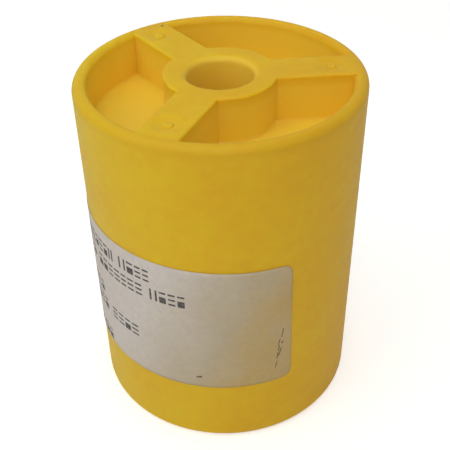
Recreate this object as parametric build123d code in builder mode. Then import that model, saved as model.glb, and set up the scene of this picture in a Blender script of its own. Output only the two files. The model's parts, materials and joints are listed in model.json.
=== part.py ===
"""Wire canister: a moulded shell over a reel of wire that turns on two hub spigots.

The axis of the canister is Z and the origin is at the middle of its base. The shell's closed end
is uppermost, and the base cap plugs its open end. Lengths are in millimetres, angles in degrees
anticlockwise from +X, and -Y is the front.
"""

from build123d import *
import os
from math import degrees

os.makedirs("parts", exist_ok=True)

# Whole canister
outer_radius = 35.0
height = 91.0
wall = 3.4
bore_radius = 8.15
hub_radius = 13.7

# Spoked ends
spoke_angle = 5.0
spoke_count = 3
spoke_width = 10.2
pocket_depth = 11.5
pocket_floor = 2.2
spoke_skin = 2.4
core_width = 5.8
core_corner = 1.0
spigot_length = 8.0

# Moulded edges
rim_outer_edge = 1.9
rim_inner_edge = 1.3
base_edge = 2.2
crisp_edge = 0.5
floor_edge = 0.6
bore_edge = 1.6
lead_in = 0.6
spoke_bite = 1.2

# Injection gate marks on the closed end: a shallow dish with the trimmed stub of the gate in it
gate_radius = 26.6
gate_dish_radius = 3.8
gate_dish_depth = 0.55
gate_stub_radius = 1.1
gate_stub_height = 0.5
gate_stub_edge = 0.35

# Base cap
cap_wall = 3.4
cap_clearance = 0.1
seat_step = 0.4

# Reel
running_clearance = 0.1
thrust_gap = 0.3
barrel_wall = 2.2
flange_clearance = 1.1
flange_web = 2.0
flange_rim_width = 1.6
flange_collar = 2.4
rib_height = 1.4
rib_width = 1.2
rib_count = 6
start_hole_radius = 1.2
start_hole_angle = 30.0

# Wire
winding_radius = 26.6

# Wire outlet
outlet_angle = 42.0
outlet_bore_radius = 1.6
eyelet_tube = 0.6
eyelet_head_radius = 4.0
eyelet_head = 0.6
eyelet_head_edge = 0.35
eyelet_flare_radius = 3.1
eyelet_flare = 0.5
eyelet_flare_gap = 0.02
spotface_clearance = 0.3

# Paper label
label_thickness = 0.15
label_width = 100.0
label_base = 19.5
label_top = 59.9
label_corner = 2.5
label_right_angle = -62.5

# How near an edge or a face has to lie to the place that it is picked by
tolerance = 0.01

# Worked out from the sizes above
inner_radius = outer_radius - wall
end_depth = pocket_depth + pocket_floor
core_depth = end_depth - spoke_skin
ceiling = height - end_depth
cap_height = end_depth
cap_radius = inner_radius + seat_step - cap_clearance
cap_inner_radius = cap_radius - cap_wall
barrel_bore = hub_radius + running_clearance
barrel_radius = barrel_bore + barrel_wall
barrel_base = cap_height + thrust_gap
barrel_top = ceiling - thrust_gap
flange_radius = inner_radius - flange_clearance
flange_depth = flange_web + rib_height
lower_web = barrel_base + flange_depth
upper_web = barrel_top - flange_depth
label_angle = degrees(label_width / outer_radius)
dish_ball_radius = (gate_dish_radius**2 + gate_dish_depth**2) / (2 * gate_dish_depth)


def spoke_bars(face_height, inward, rim_radius):
    """Three flat spokes from hub to rim, flush with the face and rooted in the pocket floor.

    inward is +1 or -1, the way along Z from the face into the canister.
    """
    bar_start = hub_radius - 2 * spoke_bite
    bar_length = rim_radius + spoke_bite - bar_start
    with BuildPart() as bars:
        with BuildSketch(Plane.XY.offset(face_height)):
            with PolarLocations(bar_start + bar_length / 2, spoke_count, start_angle=spoke_angle):
                Rectangle(bar_length, spoke_width)
        extrude(amount=inward * (pocket_depth + pocket_floor / 2))
        long_edges = bars.edges().filter_by(
            lambda edge: abs(edge.length - bar_length) < tolerance
            and abs(edge.center().Z - face_height) < tolerance
        )
        fillet(long_edges, crisp_edge)
    return bars.part


def recess(face_height, rim_radius):
    """The ring-shaped recess that the spokes divide into three pockets."""
    with BuildSketch(Plane.XY.offset(face_height)) as ring:
        Circle(rim_radius)
        Circle(hub_radius, mode=Mode.SUBTRACT)
    return ring.sketch


def spoke_cores(inside_height, rim_radius):
    """Slots that hollow the spokes from the inside of the canister."""
    slot_start = hub_radius + spoke_skin
    slot_length = rim_radius - spoke_skin / 2 - slot_start
    with BuildSketch(Plane.XY.offset(inside_height)) as cores:
        with PolarLocations(slot_start + slot_length / 2, spoke_count, start_angle=spoke_angle):
            Rectangle(slot_length, core_width)
        fillet(cores.vertices(), core_corner)
    return cores.sketch


def rings_at(part, face_height, radius):
    """The circular edges of one radius that lie at one height."""
    return part.edges().filter_by(GeomType.CIRCLE).filter_by(
        lambda edge: abs(edge.center(CenterOf.MASS).Z - face_height) < tolerance
        and abs(edge.radius - radius) < tolerance
    )


def pocket_floor_edges(part, floor_height):
    """The outlines of the three pocket floors."""
    return part.faces().filter_by(Plane.XY).filter_by_position(
        Axis.Z, floor_height - tolerance, floor_height + tolerance
    ).edges()


top_plane = Plane.XY.offset(height)
top_spokes = spoke_bars(height, -1, inner_radius)
base_spokes = spoke_bars(0, 1, cap_inner_radius)

# Shell: the side wall and the closed, spoked end in one moulding, open at the base.
with BuildPart() as canister_shell:
    with BuildSketch(Plane.XY):
        Circle(outer_radius)
    extrude(amount=height)
    fillet(rings_at(canister_shell, height, outer_radius), rim_outer_edge)
    fillet(rings_at(canister_shell, 0, outer_radius), base_edge)

    with BuildSketch(Plane.XY):
        Circle(inner_radius)
    extrude(amount=ceiling, mode=Mode.SUBTRACT)
    with BuildSketch(Plane.XY):
        Circle(inner_radius + seat_step)
    extrude(amount=cap_height, mode=Mode.SUBTRACT)

    with BuildSketch(Plane.XY.offset(ceiling)):
        Circle(hub_radius)
    extrude(amount=-spigot_length)
    chamfer(rings_at(canister_shell, ceiling - spigot_length, hub_radius), lead_in)

    extrude(recess(height, inner_radius), amount=-pocket_depth, mode=Mode.SUBTRACT)
    with BuildSketch(top_plane):
        Circle(bore_radius)
    extrude(amount=-height, mode=Mode.SUBTRACT)
    fillet(rings_at(canister_shell, height, inner_radius), rim_inner_edge)
    fillet(rings_at(canister_shell, height, hub_radius), crisp_edge)
    fillet(rings_at(canister_shell, height, bore_radius), bore_edge)
    add(top_spokes)
    fillet(pocket_floor_edges(canister_shell, height - pocket_depth), floor_edge)
    extrude(spoke_cores(ceiling, inner_radius), amount=core_depth, mode=Mode.SUBTRACT)

    # Gate marks: each dish is the foot of a large ball, and its stub stands on the lowest point.
    dish_bottom = height - gate_dish_depth
    with Locations((0, 0, dish_bottom + dish_ball_radius)):
        with PolarLocations(gate_radius, spoke_count, start_angle=spoke_angle):
            Sphere(dish_ball_radius, mode=Mode.SUBTRACT)
    with BuildSketch(Plane.XY.offset(dish_bottom)):
        with PolarLocations(gate_radius, spoke_count, start_angle=spoke_angle):
            Circle(gate_stub_radius)
    extrude(amount=gate_stub_height)
    stub_top = dish_bottom + gate_stub_height
    fillet(rings_at(canister_shell, stub_top, gate_stub_radius), gate_stub_edge)

    # Hole and flat seat for the outlet eyelet, half way up the winding.
    outlet_plane = Plane(
        origin=Vector(outer_radius - eyelet_head, 0, height / 2).rotate(Axis.Z, outlet_angle),
        x_dir=(0, 0, 1),
        z_dir=Vector(1, 0, 0).rotate(Axis.Z, outlet_angle),
    )
    with BuildSketch(outlet_plane):
        Circle(eyelet_head_radius + spotface_clearance)
    extrude(amount=2 * eyelet_head, mode=Mode.SUBTRACT)
    with BuildSketch(outlet_plane):
        Circle(outlet_bore_radius + eyelet_tube)
    extrude(amount=-2 * wall, mode=Mode.SUBTRACT)
canister_shell.part.label = "canister_shell"
export_step(canister_shell.part, "parts/canister_shell.step")


# Base cap: a plug with the same spokes and pockets, and the reel's lower spigot.
with BuildPart() as base_cap:
    with BuildSketch(Plane.XY):
        Circle(cap_radius)
    extrude(amount=cap_height)
    chamfer(rings_at(base_cap, cap_height, cap_radius), lead_in)
    with BuildSketch(Plane.XY.offset(cap_height)):
        Circle(hub_radius)
    extrude(amount=spigot_length)
    chamfer(rings_at(base_cap, cap_height + spigot_length, hub_radius), lead_in)

    extrude(recess(0, cap_inner_radius), amount=pocket_depth, mode=Mode.SUBTRACT)
    with BuildSketch(Plane.XY):
        Circle(bore_radius)
    extrude(amount=height, mode=Mode.SUBTRACT)
    fillet(rings_at(base_cap, 0, cap_inner_radius), rim_inner_edge)
    fillet(rings_at(base_cap, 0, hub_radius), crisp_edge)
    fillet(rings_at(base_cap, 0, bore_radius), bore_edge)
    add(base_spokes)
    fillet(pocket_floor_edges(base_cap, pocket_depth), floor_edge)
    extrude(spoke_cores(cap_height, cap_inner_radius), amount=-core_depth, mode=Mode.SUBTRACT)
base_cap.part.label = "base_cap"
export_step(base_cap.part, "parts/base_cap.step")


# Reel: a barrel that runs on the two spigots, with a flange pressed on each end.
with BuildPart() as reel_barrel:
    with BuildSketch(Plane.XY.offset(barrel_base)):
        Circle(barrel_radius)
        Circle(barrel_bore, mode=Mode.SUBTRACT)
    extrude(amount=barrel_top - barrel_base)
reel_barrel.part.label = "reel_barrel"
export_step(reel_barrel.part, "parts/reel_barrel.step")


def reel_flange(outer_plane):
    """One flange, built inwards along the plane's normal from the reel's outer end."""
    collar_radius = barrel_radius + flange_collar
    rib_length = flange_radius - flange_rim_width / 2 - collar_radius
    with BuildPart() as flange:
        with BuildSketch(outer_plane.offset(rib_height)):
            Circle(flange_radius)
        extrude(amount=flange_web)
        with BuildSketch(outer_plane):
            Circle(flange_radius)
            Circle(flange_radius - flange_rim_width, mode=Mode.SUBTRACT)
            Circle(collar_radius)
            with PolarLocations(collar_radius + rib_length / 2, rib_count):
                Rectangle(rib_length + flange_rim_width, rib_width)
        extrude(amount=rib_height)
        with BuildSketch(outer_plane):
            Circle(barrel_radius)
        extrude(amount=flange_depth, mode=Mode.SUBTRACT)
        with BuildSketch(outer_plane):
            with PolarLocations(collar_radius + 2 * start_hole_radius, 1, start_angle=start_hole_angle):
                Circle(start_hole_radius)
        extrude(amount=flange_depth, mode=Mode.SUBTRACT)
    return flange.part


lower_flange = reel_flange(Plane.XY.offset(barrel_base))
lower_flange.label = "lower_flange"
export_step(lower_flange, "parts/lower_flange.step")

upper_flange = reel_flange(Plane(origin=(0, 0, barrel_top), x_dir=(1, 0, 0), z_dir=(0, 0, -1)))
upper_flange.label = "upper_flange"
export_step(upper_flange, "parts/upper_flange.step")


# Wire: the closed outer shape of the whole winding, between the two flange webs.
with BuildPart() as wire_winding:
    with BuildSketch(Plane.XY.offset(lower_web)):
        Circle(winding_radius)
        Circle(barrel_radius, mode=Mode.SUBTRACT)
    extrude(amount=upper_web - lower_web)
wire_winding.part.label = "wire_winding"
export_step(wire_winding.part, "parts/wire_winding.step")


# Outlet eyelet: a rolled tube through the wall, its head in the spot face, its flare inside.
eyelet_radius = outlet_bore_radius + eyelet_tube
flare_face = (inner_radius**2 - eyelet_flare_radius**2) ** 0.5 - eyelet_flare_gap
with BuildPart() as outlet_eyelet:
    with BuildSketch(outlet_plane):
        Circle(eyelet_head_radius)
    extrude(amount=eyelet_head)
    outer_edge = outlet_eyelet.edges().sort_by(Axis(outlet_plane.origin, outlet_plane.z_dir))[-1]
    fillet(outer_edge, eyelet_head_edge)
    with BuildSketch(outlet_plane):
        Circle(eyelet_radius)
    extrude(amount=-(outer_radius - eyelet_head - flare_face))
    with BuildSketch(outlet_plane.offset(flare_face - outer_radius + eyelet_head)):
        Circle(eyelet_flare_radius)
    extrude(amount=-eyelet_flare)
    with BuildSketch(outlet_plane.offset(eyelet_head)):
        Circle(outlet_bore_radius)
    extrude(amount=-3 * wall, mode=Mode.SUBTRACT)
outlet_eyelet.part.label = "outlet_eyelet"
export_step(outlet_eyelet.part, "parts/outlet_eyelet.step")


# Label: a sheet of paper wrapped round the left and front of the shell.
with BuildPart() as paper_label:
    with BuildSketch(Plane.XZ):
        with Locations((outer_radius, label_base)):
            Rectangle(label_thickness, label_top - label_base, align=(Align.MIN, Align.MIN))
    revolve(axis=Axis.Z, revolution_arc=label_angle)
    corner_edges = paper_label.edges().filter_by(
        lambda edge: edge.geom_type == GeomType.LINE and edge.length < 2 * label_thickness
    )
    fillet(corner_edges, label_corner)
wrapped_label = paper_label.part.rotate(Axis.Z, label_right_angle - label_angle)
wrapped_label.label = "paper_label"
export_step(wrapped_label, "parts/paper_label.step")
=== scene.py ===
"""Wire canister: the looks of a moulded plastic shell round a turning reel of alloy lock wire.

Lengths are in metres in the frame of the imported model: Z is the axis of the canister, its base
stands on z = 0 and -Y is the front. A size that a maker would measure is written in millimetres
times MM. Angles round the axis are degrees anticlockwise from +X.
"""

import json
import math
import random

import bmesh
import bpy
from mathutils import Matrix, Vector, noise


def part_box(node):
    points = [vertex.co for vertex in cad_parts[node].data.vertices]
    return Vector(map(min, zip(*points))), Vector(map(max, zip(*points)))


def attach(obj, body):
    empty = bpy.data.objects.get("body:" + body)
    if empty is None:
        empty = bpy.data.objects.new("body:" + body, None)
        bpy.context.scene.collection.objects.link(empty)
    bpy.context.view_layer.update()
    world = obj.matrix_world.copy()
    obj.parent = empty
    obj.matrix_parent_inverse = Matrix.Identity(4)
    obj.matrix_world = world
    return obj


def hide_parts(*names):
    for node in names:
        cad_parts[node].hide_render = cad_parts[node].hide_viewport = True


MM = 0.001

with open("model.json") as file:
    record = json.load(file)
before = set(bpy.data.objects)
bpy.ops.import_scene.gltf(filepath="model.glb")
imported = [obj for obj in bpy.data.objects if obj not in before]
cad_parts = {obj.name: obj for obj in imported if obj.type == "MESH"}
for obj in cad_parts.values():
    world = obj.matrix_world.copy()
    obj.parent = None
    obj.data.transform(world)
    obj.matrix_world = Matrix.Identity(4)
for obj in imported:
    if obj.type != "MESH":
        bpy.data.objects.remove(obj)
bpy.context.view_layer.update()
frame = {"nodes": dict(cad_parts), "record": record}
nodes = frame["nodes"]
mounts = {mount["name"]: mount for mount in frame["record"]["mounts"]}

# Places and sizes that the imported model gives.
shell_low, shell_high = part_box("canister_shell")
shell_radius = shell_high.x
shell_bore = shell_radius - 3.4 * MM
bore_radius = 8.15 * MM
height = shell_high.z
winding_low, winding_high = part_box("wire_winding")
winding_radius = winding_high.x
barrel_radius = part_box("reel_barrel")[1].x
pocket_depth = 11.5 * MM
label_low, label_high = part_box("paper_label")
outlet_axis = Vector(mounts["wire_outlet"]["axis"])
outlet_height = mounts["wire_outlet"]["pos_m"][2]

# Moulded plastic.
mould_round = 0.5 * MM
turning_pitch = 0.9 * MM
# Painted light: the lighter colour of the bore's wall.
painted_bore_glow = "ffd44c"
# Painted highlight: the paler colour of the edges.
painted_edge_highlight = "f6da4c"
# Painted shade: the darker colour at the front of the rim.
painted_rim_shade = "d4a61e"
charred_resin = "4a3410"

# Paper label: how far round it goes, and how its cut edges run.
label_right_top = -63.3
label_right_bottom = -61.9
label_left = -226.0
label_corner = 2.5 * MM
label_paper = 0.07 * MM
label_bubble = 0.03 * MM
label_top_right = label_high.z - 2.2 * MM
label_top_left = label_high.z + 0.4 * MM
label_bottom_right = label_low.z + 0.6 * MM
label_bottom_left = label_low.z + 0.3 * MM
label_column = 0.6 * MM
label_row = 1.5 * MM
ink_thickness = 0.008 * MM
ink_stroke = 0.55 * MM
ink_corner = 0.16 * MM
cap_height = 3.5 * MM
letter_gap = 0.6 * MM
letter_widths = (1.7, 2.3)  # mm
narrowest_letter = 1.2 * MM
long_edge = 0.8 * MM
print_words = [
    # first angle, last angle, height of the line
    (-176.0, -140.0, 51.9 * MM), (-136.3, -120.5, 51.9 * MM),
    (-186.0, -157.0, 46.6 * MM), (-153.5, -124.5, 46.6 * MM), (-120.8, -103.5, 46.6 * MM),
    (-190.0, -153.0, 36.6 * MM),
    (-196.0, -150.5, 31.4 * MM), (-146.0, -128.5, 31.4 * MM),
    (-186.0, -149.5, 20.6 * MM),
]

# Marks on the label: angle, height, length, width and lean of each scratch, in degrees and mm.
scratches = [
    (-66.8, 34.9, 2.9, 0.26, 0.16), (-68.2, 32.6, 1.8, 0.28, 0.22),
    (-66.9, 32.7, 0.9, 0.42, 0.10), (-68.3, 30.4, 2.1, 0.30, 0.10),
    (-67.8, 28.6, 2.8, 0.34, 0.28), (-68.8, 27.9, 2.0, 0.28, 0.12),
    (-69.2, 24.6, 2.3, 0.24, 0.20),
]
scratch_corner = 0.1 * MM
smudge_left = -102.6
smudge_middle = -101.5
smudge_base = 23.3 * MM
smudge_size = (1.5 * MM, 0.55 * MM)
smudge_tilt = -12.0

# Studio. The camera sees the surround and the floor brighter, by these, than they light.
backdrop_lift = 0.42
board_lift = 0.5
floor_gap = 0.05 * MM
floor_half = 3.0

# Lock wire on the reel.
wire_radius = 0.4 * MM
wire_sides = 8
steps_per_turn = 48
outer_turns_share = 0.62

# Outlet eyelet: a rolled brass tube with a bead outside and a clinched flare inside.
eyelet_bore = 1.6 * MM
eyelet_sheet = 0.6 * MM
eyelet_head = 4.0 * MM
eyelet_flare = 3.1 * MM
eyelet_bead = 0.9 * eyelet_sheet
eyelet_edge = 0.22 * MM
clinch_gap = 0.05 * MM


def linear(code):
    """The linear RGBA colour of an sRGB hex code such as "e8b504"."""
    channels = [int(code[i:i + 2], 16) / 255 for i in (0, 2, 4)]
    curve = [c / 12.92 if c <= 0.04045 else ((c + 0.055) / 1.055) ** 2.4 for c in channels]
    return (*curve, 1.0)


def add_node(tree, kind, inputs=None, **settings):
    """Adds a node. inputs gives its sockets plain values, or (node, output) pairs to link."""
    node = tree.nodes.new("ShaderNode" + kind)
    for name, value in settings.items():
        setattr(node, name, value)
    for socket, value in (inputs or {}).items():
        if isinstance(value, tuple) and isinstance(value[0], bpy.types.Node):
            tree.links.new(value[0].outputs[value[1]], node.inputs[socket])
        else:
            node.inputs[socket].default_value = value
    return node


def new_material(name):
    """An empty node material: its tree, and the object coordinates that every pattern reads."""
    material = bpy.data.materials.new(name)
    material.use_nodes = True
    material.node_tree.nodes.clear()
    return material, material.node_tree, add_node(material.node_tree, "TexCoord")


def close_material(tree, shader):
    add_node(tree, "OutputMaterial", {"Surface": (shader, "BSDF")})


def blend_stops(ramp, stops):
    """Sets a colour ramp's stops from (position, colour) pairs, of which there are two or more."""
    elements = ramp.color_ramp.elements
    while len(elements) < len(stops):
        elements.new(0.5)
    for element, (position, colour) in zip(elements, stops):
        element.position = position
        element.color = colour


def moulded_polyethylene(name, lit_side_tone, shaded_side_tone, painted_pocket_glow, face, inward, char_speck=None):
    """Injection-moulded high-density polyethylene, coloured right through, from a turned tool.

    It gives the eye a satin, waxy yellow that glows a little in its depths, with soft highlights,
    a faint waviness from shrinkage and turning marks on the recessed floors. Light and shade are
    painted into its colour too: a lighter, greener side towards -X and a more orange one towards
    +X, lighter pockets and a lighter bore, a darker front to the rim and paler edges as highlights.
    """
    material, tree, place = new_material(name)
    coords = (place, "Object")

    # Pigment flow: cloudy patches about 18 mm across, and flecks of about 3 mm within them. Painted
    # light and shade: the side towards -X is painted lighter and greener, as lit, and the side
    # towards +X more orange, as in shade.
    clouds = add_node(tree, "TexNoise", {"Vector": coords, "Scale": 1 / (18 * MM), "Detail": 3.0})
    flecks = add_node(tree, "TexNoise", {"Vector": coords, "Scale": 1 / (3 * MM), "Detail": 4.0})
    flow = add_node(tree, "Math", {0: (clouds, "Fac"), 1: (flecks, "Fac")}, operation="ADD")
    axes = add_node(tree, "SeparateXYZ", {"Vector": coords})
    lit_side_and_flow = add_node(tree, "Math", {0: (axes, "X"), 1: 1 / (90 * MM), 2: (flow, "Value")},
                     operation="MULTIPLY_ADD")
    share = add_node(tree, "MapRange", {"Value": (lit_side_and_flow, "Value"), "From Min": 0.5,
                                        "From Max": 1.5})
    tint = add_node(tree, "Mix", {"Factor": (share, "Result"), "A": linear(lit_side_tone),
                                  "B": linear(shaded_side_tone)}, data_type="RGBA")

    # Painted light: below the face the pockets are painted a lighter yellow, as if lit by light
    # bounced round in them, and the bore's wall lighter still.
    flat = add_node(tree, "CombineXYZ", {"X": (axes, "X"), "Y": (axes, "Y")})
    outwards = add_node(tree, "VectorMath", {0: (flat, "Vector")}, operation="LENGTH")
    within = add_node(tree, "Math", {0: (outwards, "Value"), 1: shell_bore + 0.2 * MM},
                      operation="LESS_THAN")
    deep = add_node(tree, "MapRange", {"Value": (axes, "Z"), "From Min": face + inward * 0.3 * MM,
                                       "From Max": face + inward * 3.0 * MM})
    recessed = add_node(tree, "Math", {0: (within, "Value"), 1: (deep, "Result")},
                        operation="MULTIPLY")
    tint = add_node(tree, "Mix", {"Factor": (recessed, "Value"), "A": (tint, "Result"),
                                  "B": linear(painted_pocket_glow)}, data_type="RGBA")
    bored = add_node(tree, "MapRange", {"Value": (outwards, "Value"), "To Min": 1.0, "To Max": 0.0,
                                        "From Min": bore_radius + 0.2 * MM,
                                        "From Max": bore_radius + 1.0 * MM})
    tint = add_node(tree, "Mix", {"Factor": (bored, "Result"), "A": (tint, "Result"),
                                  "B": linear(painted_bore_glow)}, data_type="RGBA")

    # Painted shade: the rim is darkened at the front, in a band about 3 mm wide next to the face.
    band = add_node(tree, "MapRange", {"Value": (outwards, "Value"),
                                       "From Min": shell_bore + 0.2 * MM,
                                       "From Max": shell_bore + 1.4 * MM})
    brim = add_node(tree, "MapRange", {"Value": (axes, "Z"), "From Min": face + inward * 3.4 * MM,
                                       "From Max": face + inward * 1.2 * MM})
    front = add_node(tree, "MapRange", {"Value": (axes, "Y"), "From Min": 8 * MM,
                                        "From Max": -24 * MM, "To Max": 0.4})
    rim_band_mask = add_node(tree, "Math", {0: (band, "Result"), 1: (brim, "Result")},
                    operation="MULTIPLY")
    rim_shade_mask = add_node(tree, "Math", {0: (rim_band_mask, "Value"), 1: (front, "Result")},
                      operation="MULTIPLY")
    tint = add_node(tree, "Mix", {"Factor": (rim_shade_mask, "Value"), "A": (tint, "Result"),
                                  "B": linear(painted_rim_shade)}, data_type="RGBA")

    # Painted highlights: a paler colour where a 0.5 mm round turns the surface, broken up by the
    # flecks.
    rounded = add_node(tree, "Bevel", {"Radius": mould_round}, samples=6)
    facing = add_node(tree, "NewGeometry")
    turned = add_node(tree, "VectorMath", {0: (rounded, "Normal"), 1: (facing, "Normal")},
                      operation="DOT_PRODUCT")
    edge = add_node(tree, "MapRange", {"Value": (turned, "Value"), "From Min": 0.995,
                                       "From Max": 0.9, "To Max": 0.2})
    rubbed = add_node(tree, "Math", {0: (edge, "Result"), 1: (flecks, "Fac")},
                      operation="MULTIPLY")
    colour = add_node(tree, "Mix", {"Factor": (rubbed, "Value"), "A": (tint, "Result"),
                                    "B": linear(painted_edge_highlight)}, data_type="RGBA")

    # One dark speck of charred resin, where the mould ran hot.
    if char_speck is not None:
        away = add_node(tree, "VectorMath", {0: coords, 1: char_speck}, operation="DISTANCE")
        spot = add_node(tree, "MapRange", {"Value": (away, "Value"), "From Min": 0.3 * MM,
                                           "From Max": 0.5 * MM, "To Min": 0.85, "To Max": 0.0})
        colour = add_node(tree, "Mix", {"Factor": (spot, "Result"), "A": (colour, "Result"),
                                        "B": linear(charred_resin)}, data_type="RGBA")

    # Handling scuffs: fine marks drawn out round the wall, that vary the satin.
    stretch = add_node(tree, "Mapping", {"Vector": coords, "Scale": (1.0, 1.0, 14.0)})
    scuffs = add_node(tree, "TexNoise", {"Vector": (stretch, "Vector"), "Scale": 1 / (9 * MM),
                                         "Detail": 6.0, "Roughness": 0.7})
    satin = add_node(tree, "MapRange", {"Value": (scuffs, "Fac"), "From Min": 0.35,
                                        "From Max": 0.7, "To Min": 0.38, "To Max": 0.52})

    # Turning marks of the tool, 0.9 mm apart about the axis, on the recessed floors only.
    wobble = add_node(tree, "Math", {0: (clouds, "Fac"), 1: 2 * MM, 2: (outwards, "Value")},
                      operation="MULTIPLY_ADD")
    rings = add_node(tree, "Math", {0: (wobble, "Value"), 1: 2 * math.pi / turning_pitch},
                     operation="MULTIPLY")
    ripple = add_node(tree, "Math", {0: (rings, "Value")}, operation="SINE")
    low = add_node(tree, "MapRange", {
        "Value": (axes, "Z"), "From Min": face + inward * (pocket_depth - 1.0 * MM),
        "From Max": face + inward * (pocket_depth - 0.3 * MM)})
    marks = add_node(tree, "Math", {0: (ripple, "Value"), 1: (low, "Result")},
                     operation="MULTIPLY")

    # Spark-eroded grain, really about 0.05 mm, drawn at 0.35 mm so that it shows at all.
    grain = add_node(tree, "TexNoise", {"Vector": coords, "Scale": 1 / (0.35 * MM), "Detail": 2.0})
    waves = add_node(tree, "TexNoise", {"Vector": coords, "Scale": 1 / (11 * MM), "Detail": 1.0})
    wavy = add_node(tree, "Bump", {"Height": (waves, "Fac"), "Strength": 0.5,
                                   "Distance": 0.12 * MM, "Normal": (rounded, "Normal")})
    turning = add_node(tree, "Bump", {"Height": (marks, "Value"), "Strength": 0.3,
                                      "Distance": 0.02 * MM, "Normal": (wavy, "Normal")})
    grained = add_node(tree, "Bump", {"Height": (grain, "Fac"), "Strength": 0.35,
                                      "Distance": 0.012 * MM, "Normal": (turning, "Normal")})
    shader = add_node(tree, "BsdfPrincipled", {
        "Base Color": (colour, "Result"), "Roughness": (satin, "Result"),
        "Normal": (grained, "Normal"), "IOR": 1.54, "Specular IOR Level": 0.2,
        "Subsurface Weight": 0.6, "Subsurface Radius": (0.4, 0.8, 0.4),
        "Subsurface Scale": 3.0 * MM})
    close_material(tree, shader)
    return material


def moulded_polystyrene(name):
    """Black high-impact polystyrene, injection moulded and lightly grained.

    It gives the eye a deep grey-black with a soft shine, and greyer rubbed marks.
    """
    material, tree, place = new_material(name)
    coords = (place, "Object")
    marks = add_node(tree, "TexNoise", {"Vector": coords, "Scale": 1 / (2.5 * MM), "Detail": 5.0,
                                        "Roughness": 0.65})
    tint = add_node(tree, "ValToRGB", {"Fac": (marks, "Fac")})
    blend_stops(tint, [(0.45, linear("17171a")), (0.75, linear("3a3a3c"))])
    shine = add_node(tree, "MapRange", {"Value": (marks, "Fac"), "To Min": 0.3, "To Max": 0.5})
    grain = add_node(tree, "TexNoise", {"Vector": coords, "Scale": 1 / (0.3 * MM), "Detail": 2.0})
    rounded = add_node(tree, "Bevel", {"Radius": 0.25 * MM}, samples=4)
    bump = add_node(tree, "Bump", {"Height": (grain, "Fac"), "Strength": 0.3,
                                   "Distance": 0.02 * MM, "Normal": (rounded, "Normal")})
    shader = add_node(tree, "BsdfPrincipled", {
        "Base Color": (tint, "Color"), "Roughness": (shine, "Result"),
        "Normal": (bump, "Normal"), "IOR": 1.59})
    close_material(tree, shader)
    return material


def drawn_nickel_alloy(name):
    """Bright-annealed nickel-chromium wire, cold drawn.

    It gives the eye a warm silver-grey metal with fine die lines and slightly duller patches.
    """
    material, tree, place = new_material(name)
    coords = (place, "Object")
    patches = add_node(tree, "TexNoise", {"Vector": coords, "Scale": 1 / (5 * MM), "Detail": 4.0})
    tint = add_node(tree, "ValToRGB", {"Fac": (patches, "Fac")})
    blend_stops(tint, [(0.35, linear("c4c0b8")), (0.7, linear("b2ada5"))])
    stretch = add_node(tree, "Mapping", {"Vector": coords, "Scale": (0.05, 0.05, 1.0)})
    lines = add_node(tree, "TexNoise", {"Vector": (stretch, "Vector"), "Scale": 1 / (0.2 * MM),
                                        "Detail": 2.0})
    shine = add_node(tree, "MapRange", {"Value": (lines, "Fac"), "To Min": 0.2, "To Max": 0.42})
    bump = add_node(tree, "Bump", {"Height": (lines, "Fac"), "Strength": 0.4,
                                   "Distance": 0.01 * MM})
    shader = add_node(tree, "BsdfPrincipled", {
        "Base Color": (tint, "Color"), "Roughness": (shine, "Result"),
        "Normal": (bump, "Normal"), "Metallic": 1.0})
    close_material(tree, shader)
    return material


def rolled_brass(name):
    """Eyelet brass, rolled and tumbled.

    It gives the eye a soft gold metal, browner where it has been handled.
    """
    material, tree, place = new_material(name)
    coords = (place, "Object")
    tarnish = add_node(tree, "TexNoise", {"Vector": coords, "Scale": 1 / (1.4 * MM),
                                          "Detail": 5.0})
    tint = add_node(tree, "ValToRGB", {"Fac": (tarnish, "Fac")})
    blend_stops(tint, [(0.4, linear("d9b56a")), (0.7, linear("9a7434"))])
    shine = add_node(tree, "MapRange", {"Value": (tarnish, "Fac"), "To Min": 0.18,
                                        "To Max": 0.4})
    bump = add_node(tree, "Bump", {"Height": (tarnish, "Fac"), "Strength": 0.2,
                                   "Distance": 0.02 * MM})
    shader = add_node(tree, "BsdfPrincipled", {
        "Base Color": (tint, "Color"), "Roughness": (shine, "Result"),
        "Normal": (bump, "Normal"), "Metallic": 1.0})
    close_material(tree, shader)
    return material


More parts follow.
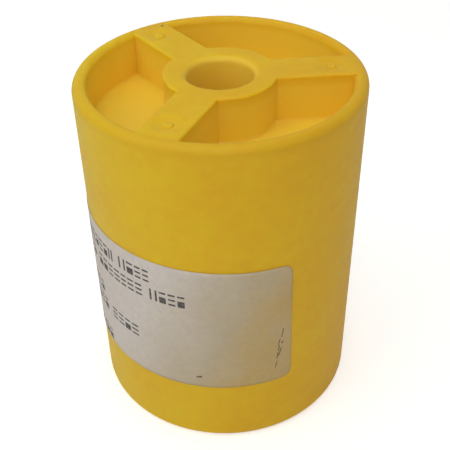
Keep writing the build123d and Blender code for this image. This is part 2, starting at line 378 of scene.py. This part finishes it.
def coated_label_paper(name):
    """Coated white label paper, gone grey with handling and yellowed along its right-hand end, with
    painted shade darkening that end as well.

    It gives the eye a matt, mottled off-white with fibre grain and smeared brown grime.
    """
    material, tree, place = new_material(name)
    coords = (place, "Object")

    # Grime builds up towards +X and downwards, the end that is handled, in smears of 12 mm. The
    # darkening towards +X is partly painted shade as well.
    smears = add_node(tree, "TexNoise", {"Vector": coords, "Scale": 1 / (12 * MM), "Detail": 5.0,
                                         "Roughness": 0.6})
    handled = add_node(tree, "VectorMath", {0: coords, 1: (1.0, 0.0, -0.4)},
                       operation="DOT_PRODUCT")
    grime_and_shade_towards_end = add_node(tree, "MapRange", {"Value": (handled, "Value"), "From Min": -38 * MM,
                                              "From Max": -3 * MM})
    uneven = add_node(tree, "MapRange", {"Value": (smears, "Fac"), "From Min": 0.3,
                                         "From Max": 0.7, "To Min": 0.8, "To Max": 1.2})
    grime = add_node(tree, "Math", {0: (grime_and_shade_towards_end, "Result"), 1: (uneven, "Result")},
                     operation="MULTIPLY", use_clamp=True)
    tint = add_node(tree, "ValToRGB", {"Fac": (grime, "Value")})
    blend_stops(tint, [(0.0, linear("dcd3cb")), (0.6, linear("c6b698")), (1.0, linear("caad74"))])

    # Mottling of the coating, 1.5 mm, and paper fibre, really 0.05 mm, drawn at 0.3 mm.
    mottle = add_node(tree, "TexNoise", {"Vector": coords, "Scale": 1 / (1.5 * MM), "Detail": 4.0})
    shade = add_node(tree, "MapRange", {"Value": (mottle, "Fac"), "From Min": 0.3,
                                        "From Max": 0.7, "To Min": 0.94, "To Max": 1.04})
    shaded = add_node(tree, "VectorMath", {0: (tint, "Color"), "Scale": (shade, "Result")},
                      operation="SCALE")
    fibre = add_node(tree, "TexNoise", {"Vector": coords, "Scale": 1 / (0.3 * MM), "Detail": 3.0})
    bump = add_node(tree, "Bump", {"Height": (fibre, "Fac"), "Strength": 0.3,
                                   "Distance": 0.02 * MM})
    matt = add_node(tree, "MapRange", {"Value": (mottle, "Fac"), "To Min": 0.5, "To Max": 0.7})
    shader = add_node(tree, "BsdfPrincipled", {
        "Base Color": (shaded, "Vector"), "Roughness": (matt, "Result"),
        "Normal": (bump, "Normal"), "IOR": 1.48, "Specular IOR Level": 0.35})
    close_material(tree, shader)
    return material


def ribbon_ink(name, full, thin):
    """Thermal-transfer ink on paper.

    It gives the eye a soft grey-black that is thinner where the ribbon skipped over the fibres.
    """
    material, tree, place = new_material(name)
    coords = (place, "Object")
    skips = add_node(tree, "TexNoise", {"Vector": coords, "Scale": 1 / (0.6 * MM), "Detail": 4.0})
    tint = add_node(tree, "ValToRGB", {"Fac": (skips, "Fac")})
    blend_stops(tint, [(0.45, linear(full)), (0.72, linear(thin))])
    matt = add_node(tree, "MapRange", {"Value": (skips, "Fac"), "To Min": 0.45, "To Max": 0.7})
    shader = add_node(tree, "BsdfPrincipled", {
        "Base Color": (tint, "Color"), "Roughness": (matt, "Result"), "IOR": 1.48})
    close_material(tree, shader)
    return material


def studio_board(name):
    """Matt white studio board.

    It gives the eye a plain white, lifted for the camera only, with a soft contact shadow.
    """
    material, tree, _ = new_material(name)
    rays = add_node(tree, "LightPath")
    lift = add_node(tree, "Math", {0: (rays, "Is Camera Ray"), 1: board_lift},
                    operation="MULTIPLY")
    shader = add_node(tree, "BsdfPrincipled", {
        "Base Color": linear("f2f1f0"), "Roughness": 0.9, "Specular IOR Level": 0.1,
        "Emission Color": linear("ffffff"), "Emission Strength": (lift, "Value")})
    close_material(tree, shader)
    return material


def make_piece(bm, name, material, body, stands_for=None, smooth=True):
    """Turns a finished bmesh into a piece at the origin that rides on a body."""
    mesh = bpy.data.meshes.new(name)
    for face in bm.faces:
        face.smooth = smooth
    bm.to_mesh(mesh)
    bm.free()
    mesh.materials.append(material)
    piece = bpy.data.objects.new(name, mesh)
    bpy.context.scene.collection.objects.link(piece)
    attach(piece, body)
    if stands_for is not None:
        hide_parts(stands_for)
    return piece


def slice_sheet(bm, low, high, spacing, direction):
    """Cuts a flat sheet across a direction at even spacing, so that it can be bent smoothly."""
    count = max(1, round((high - low) / spacing))
    for i in range(1, count):
        cut = low + (high - low) * i / count
        bmesh.ops.bisect_plane(bm, geom=bm.verts[:] + bm.edges[:] + bm.faces[:],
                               plane_co=direction * cut, plane_no=direction)


def bubble(along, up):
    """How far the paper stands off the wall at a place on the label."""
    ripple = noise.noise(Vector((along / (14 * MM), up / (9 * MM), 0.0)))
    return label_bubble * (0.5 + 0.5 * ripple)


def wrap_round(bm, base_radius):
    """Bends a flat sheet round the canister: x runs round the wall, z up it and -y outwards."""
    for vertex in bm.verts:
        along, outward, up = vertex.co.x, -vertex.co.y, vertex.co.z
        angle = along / shell_radius
        radius = base_radius + outward + bubble(along, up)
        vertex.co = Vector((radius * math.cos(angle), radius * math.sin(angle), up))


def arc_length(azimuth):
    return math.radians(azimuth) * shell_radius


def paper_sheet():
    """The label: one sheet with rounded corners, cut slightly out of square."""
    bm = bmesh.new()
    corners = [
        (arc_length(label_right_bottom), label_bottom_right),
        (arc_length(label_right_top), label_top_right),
        (arc_length(label_left), label_top_left),
        (arc_length(label_left), label_bottom_left),
    ]
    bm.faces.new([bm.verts.new((x, 0.0, z)) for x, z in corners])
    bmesh.ops.bevel(bm, geom=bm.verts[:], affect="VERTICES", offset=label_corner, segments=8,
                    profile=0.5, material=-1)
    slice_sheet(bm, arc_length(label_left), arc_length(label_right_bottom), label_column,
                Vector((1, 0, 0)))
    slice_sheet(bm, label_low.z, label_high.z, label_row, Vector((0, 0, 1)))
    wrap_round(bm, shell_radius + label_paper)
    bmesh.ops.recalc_face_normals(bm, faces=bm.faces[:])
    bmesh.ops.solidify(bm, geom=bm.faces[:], thickness=label_paper)
    return bm


def glyph_strokes(kind, width):
    """The strokes of one plain filler block, as (left, base, width, tall) within its cell."""
    if kind == "upright":
        return [(0, 0, ink_stroke, cap_height), (width - ink_stroke, 0, ink_stroke, cap_height)]
    if kind == "across":
        rise = (cap_height - ink_stroke) / 2
        return [(0, i * rise, width, ink_stroke) for i in range(3)]
    return [(0, 0, width, 0.55 * cap_height),
            (0, cap_height - ink_stroke, width, ink_stroke)]


def print_strokes():
    """Rows of filler blocks with nothing to read, as (along, up, width, tall) on the sheet."""
    draw = random.Random(7)
    strokes = []
    for start, end, base in print_words:
        along = arc_length(start)
        while along < arc_length(end) - narrowest_letter:
            width = min(draw.uniform(*letter_widths) * MM, arc_length(end) - along)
            kind = draw.choice(["upright", "across", "across", "solid"])
            strokes += [(along + left, base + low, wide, tall)
                        for left, low, wide, tall in glyph_strokes(kind, width)]
            along += width + letter_gap
    return strokes


def flat_block(bm, along, up, width, tall, lean=0.0):
    """A thin plate on the flat sheet, from its lower left corner, leaning by a share of its height."""
    centre = Matrix.Translation((along + width / 2, -ink_thickness / 2, up + tall / 2))
    leaning = Matrix.Identity(4)
    leaning[0][2] = lean
    size = Matrix.Diagonal((width, ink_thickness, tall, 1.0))
    return bmesh.ops.create_cube(bm, size=1.0, matrix=centre @ leaning @ size)["verts"]


def label_print():
    """The print on the label, as one thin layer of ink blocks."""
    bm = bmesh.new()
    for along, base, width, tall in print_strokes():
        flat_block(bm, along, base, width, tall)
    through = [e for e in bm.edges if abs(e.verts[0].co.x - e.verts[1].co.x) < 1e-9
               and abs(e.verts[0].co.z - e.verts[1].co.z) < 1e-9]
    bmesh.ops.bevel(bm, geom=through, affect="EDGES", offset=ink_corner, segments=3, profile=0.5,
                    material=-1)
    across = [e for e in bm.edges if abs(e.verts[0].co.x - e.verts[1].co.x) > long_edge]
    bmesh.ops.subdivide_edges(bm, edges=across, cuts=2)
    wrap_round(bm, shell_radius + 2 * label_paper)
    bmesh.ops.recalc_face_normals(bm, faces=bm.faces[:])
    return bm


def label_scratches():
    """A dark smudge, and a run of short scratches near the right-hand end of the label."""
    bm = bmesh.new()
    for azimuth, up, length, width, lean in scratches:
        flat_block(bm, arc_length(azimuth), up * MM, width * MM, length * MM, lean)
    smudge = flat_block(bm, arc_length(smudge_left), smudge_base, *smudge_size)
    bmesh.ops.rotate(bm, verts=smudge, cent=(arc_length(smudge_middle), 0, smudge_base + 0.3 * MM),
                     matrix=Matrix.Rotation(math.radians(smudge_tilt), 3, "Y"))
    ends = [e for e in bm.edges if abs(e.verts[0].co.y - e.verts[1].co.y) > ink_thickness / 2]
    bmesh.ops.bevel(bm, geom=ends, affect="EDGES", offset=scratch_corner, segments=2, profile=0.5,
                    material=-1)
    wrap_round(bm, shell_radius + 2 * label_paper)
    bmesh.ops.recalc_face_normals(bm, faces=bm.faces[:])
    return bm


def wire_layer(bm, radius, base, turns):
    """One layer of the winding: a round section is spun round and up through one turn by one wire
    width, and that turn is repeated up the reel."""
    before = set(bm.verts)
    across = Matrix.Translation((radius, 0, base)) @ Matrix.Rotation(math.pi / 2, 4, "X")
    section = bmesh.ops.create_circle(bm, radius=wire_radius, segments=wire_sides,
                                      matrix=across)["verts"]
    ring = section + list({edge for vertex in section for edge in vertex.link_edges})
    rise = 2 * wire_radius
    bmesh.ops.spin(bm, geom=ring, cent=(0, 0, 0), axis=(0, 0, 1), angle=2 * math.pi,
                   dvec=(0, 0, rise / steps_per_turn), steps=steps_per_turn)
    turn = [vertex for vertex in bm.verts if vertex not in before]
    turn += list({face for vertex in turn for face in vertex.link_faces})
    for i in range(1, turns):
        copy = bmesh.ops.duplicate(bm, geom=turn)["geom"]
        lifted = [element for element in copy if isinstance(element, bmesh.types.BMVert)]
        bmesh.ops.translate(bm, verts=lifted, vec=(0, 0, i * rise))


def wire_turns():
    """The wire as it is wound: a full layer, and part of the next one over it."""
    bm = bmesh.new()
    space = winding_high.z - winding_low.z
    full_turns = math.floor(space / (2 * wire_radius)) - 1
    top_radius = winding_radius - wire_radius
    under_radius = top_radius - math.sqrt(3) * wire_radius
    wire_layer(bm, under_radius, winding_low.z + wire_radius, full_turns)
    wire_layer(bm, top_radius, winding_low.z + 2 * wire_radius,
               round(full_turns * outer_turns_share))
    bmesh.ops.remove_doubles(bm, verts=bm.verts[:], dist=0.001 * MM)
    cut_ends = [edge for edge in bm.edges if edge.is_boundary]
    bmesh.ops.holes_fill(bm, edges=cut_ends, sides=wire_sides)
    bmesh.ops.recalc_face_normals(bm, faces=bm.faces[:])
    return bm


def spun_ring(bm, profile):
    """A closed ring spun round Z from the (radius, height) points of its section."""
    corners = [bm.verts.new((radius, 0, up)) for radius, up in profile]
    edges = [bm.edges.new((a, b)) for a, b in zip(corners, corners[1:] + corners[:1])]
    bmesh.ops.spin(bm, geom=corners + edges, cent=(0, 0, 0), axis=(0, 0, 1),
                   angle=2 * math.pi, steps=128, use_merge=True)
    bmesh.ops.remove_doubles(bm, verts=bm.verts[:], dist=1e-7)
    bmesh.ops.recalc_face_normals(bm, faces=bm.faces[:])


def packed_turns():
    """The layers below, which the outer ones hide: a plain sleeve down to the barrel."""
    bm = bmesh.new()
    top_radius = winding_radius - (3 + math.sqrt(3)) * wire_radius
    profile = [(barrel_radius, winding_low.z), (top_radius, winding_low.z),
               (top_radius, winding_high.z), (barrel_radius, winding_high.z)]
    spun_ring(bm, profile)
    return bm


def rolled_eyelet():
    """A rolled eyelet: a beaded head outside the wall, a tube through it and a clinched flare.

    Its section is drawn in a plane through the axis, as (radius, way outwards from the seat of
    the head), and the corners are rounded by a bevel before it is spun.
    """
    bm = bmesh.new()
    seat = shell_radius - eyelet_sheet
    inside = -(seat - math.sqrt(shell_bore ** 2 - eyelet_flare ** 2)) - clinch_gap
    tube = eyelet_bore + eyelet_sheet
    section = [
        (eyelet_bore, eyelet_bead), (eyelet_bore, inside - eyelet_sheet / 2),
        (eyelet_flare, inside - eyelet_sheet / 2), (eyelet_flare, inside), (tube, inside),
        (tube, 0.0), (eyelet_head, 0.0), (eyelet_head, eyelet_bead),
    ]
    corners = [bm.verts.new((radius, 0, up)) for radius, up in section]
    bm.faces.new(corners)
    bmesh.ops.bevel(bm, geom=corners, affect="VERTICES", offset=eyelet_edge, segments=4,
                    profile=0.5, material=-1)
    bmesh.ops.delete(bm, geom=bm.faces[:], context="FACES_ONLY")
    bmesh.ops.spin(bm, geom=bm.verts[:] + bm.edges[:], cent=(0, 0, 0), axis=(0, 0, 1),
                   angle=2 * math.pi, steps=64, use_merge=True)
    bmesh.ops.remove_doubles(bm, verts=bm.verts[:], dist=0.001 * MM)
    bmesh.ops.recalc_face_normals(bm, faces=bm.faces[:])
    turn = outlet_axis.to_track_quat("Z", "Y").to_matrix().to_4x4()
    seat_point = outlet_axis * seat + Vector((0, 0, outlet_height))
    bmesh.ops.transform(bm, verts=bm.verts[:], matrix=Matrix.Translation(seat_point) @ turn)
    return bm


# --- Assembly -------------------------------------------------------------------------------

# Colours: the painted lit side, the painted shaded side and the painted light in the pockets.
yellow_shell = moulded_polyethylene("satin_yellow_polyethylene", "eec822", "e9b41e", "f6d244",
                                    face=height, inward=-1,
                                    char_speck=(-15.0 * MM, 27.4 * MM, height))
yellow_cap = moulded_polyethylene("satin_yellow_polyethylene_cap", "e9c224", "e3b020", "f4d044",
                                  face=0.0, inward=1)
black_plastic = moulded_polystyrene("grained_black_polystyrene")
bright_wire = drawn_nickel_alloy("bright_drawn_nickel_alloy")
brass = rolled_brass("tumbled_eyelet_brass")
paper = coated_label_paper("handled_coated_paper")
ink = ribbon_ink("thermal_ribbon_ink", "4a4648", "7d7876")
grime = ribbon_ink("brown_scuff_grime", "6b5a3c", "8f7d58")

finishes = {
    "canister_shell": yellow_shell,
    "base_cap": yellow_cap,
    "reel_barrel": black_plastic,
    "lower_flange": black_plastic,
    "upper_flange": black_plastic,
    "outlet_eyelet": brass,
}
for name, finish in finishes.items():
    nodes[name].data.materials.clear()
    nodes[name].data.materials.append(finish)

make_piece(paper_sheet(), "label_sheet", paper, "canister", "paper_label")
make_piece(label_print(), "label_print", ink, "canister")
make_piece(label_scratches(), "label_scratches", grime, "canister")
make_piece(rolled_eyelet(), "rolled_eyelet", brass, "canister", "outlet_eyelet")
make_piece(wire_turns(), "wire_turns", bright_wire, "reel", "wire_winding")
make_piece(packed_turns(), "packed_turns", bright_wire, "reel")


def studio_floor():
    """A wide plain board under the canister."""
    bm = bmesh.new()
    bmesh.ops.create_grid(bm, x_segments=1, y_segments=1, size=floor_half)
    mesh = bpy.data.meshes.new("floor")
    bm.to_mesh(mesh)
    bm.free()
    mesh.materials.append(studio_board("matt_white_board"))
    floor = bpy.data.objects.new("floor", mesh)
    floor.location.z = -floor_gap
    bpy.context.scene.collection.objects.link(floor)


def soft_light(name, place, aim, size, power, colour, spread=180.0):
    """A square soft box that faces a point. A grid in front of it narrows its spread."""
    light = bpy.data.lights.new(name, "AREA")
    light.shape = "SQUARE"
    light.size = size
    light.energy = power
    light.color = colour
    light.spread = math.radians(spread)
    lamp = bpy.data.objects.new(name, light)
    lamp.location = place
    lamp.rotation_euler = (Vector(aim) - Vector(place)).to_track_quat("-Z", "Y").to_euler()
    bpy.context.scene.collection.objects.link(lamp)


def studio_sky(colour, strength):
    """Even light from all round."""
    world = bpy.data.worlds.new("soft_surround")
    world.use_nodes = True
    world.node_tree.nodes.clear()
    rays = add_node(world.node_tree, "LightPath")
    glow = add_node(world.node_tree, "Math", {0: (rays, "Is Camera Ray"), 1: backdrop_lift,
                                              2: strength}, operation="MULTIPLY_ADD")
    background = add_node(world.node_tree, "Background", {"Color": colour,
                                                          "Strength": (glow, "Value")})
    add_node(world.node_tree, "OutputWorld", {"Surface": (background, "Background")})
    bpy.context.scene.world = world


def set_camera():
    """Looks down on the canister from the front, close to, with a slight roll."""
    aim = Vector((0.42 * MM, 0, 45.4 * MM))
    middle = Vector((0, 0, 45.5 * MM))
    distance = 212.2 * MM
    elevation = math.radians(37.27)
    roll = math.radians(-1.14)
    place = middle + distance * Vector((0, -math.cos(elevation), math.sin(elevation)))
    forward = (aim - place).normalized()
    level = forward.cross(Vector((0, 0, 1))).normalized()
    upright = level.cross(forward)
    right = level * math.cos(roll) + upright * math.sin(roll)
    up = upright * math.cos(roll) - level * math.sin(roll)
    turn = Matrix((right, up, -forward)).transposed().to_4x4()
    data = bpy.data.cameras.new("camera")
    data.sensor_width = 36.0
    data.lens = 62.6
    data.clip_start = 0.01
    camera = bpy.data.objects.new("camera", data)
    camera.matrix_world = Matrix.Translation(place) @ turn
    bpy.context.scene.collection.objects.link(camera)
    bpy.context.scene.camera = camera


studio_floor()
studio_sky(linear("fffefc"), 0.40)
soft_light("key_light", (-0.45, -0.25, 0.50), (0, 0, 0.05), 0.45, 0.70, (0.97, 1.0, 0.97))
soft_light("front_light", (-0.05, -0.45, 0.45), (0, 0, 0.05), 0.20, 0.30, (1.0, 1.0, 1.0))
soft_light("hub_light", (0.0, -0.35, 0.42), (0, 0.005, 0.085), 0.16, 0.0050, (1.0, 1.0, 1.0),
           spread=14.0)
soft_light("top_light", (-0.05, -0.05, 0.65), (0, 0, 0.05), 0.50, 0.8, (1.0, 1.0, 0.95))
set_camera()
bpy.context.scene.view_settings.view_transform = "Standard"
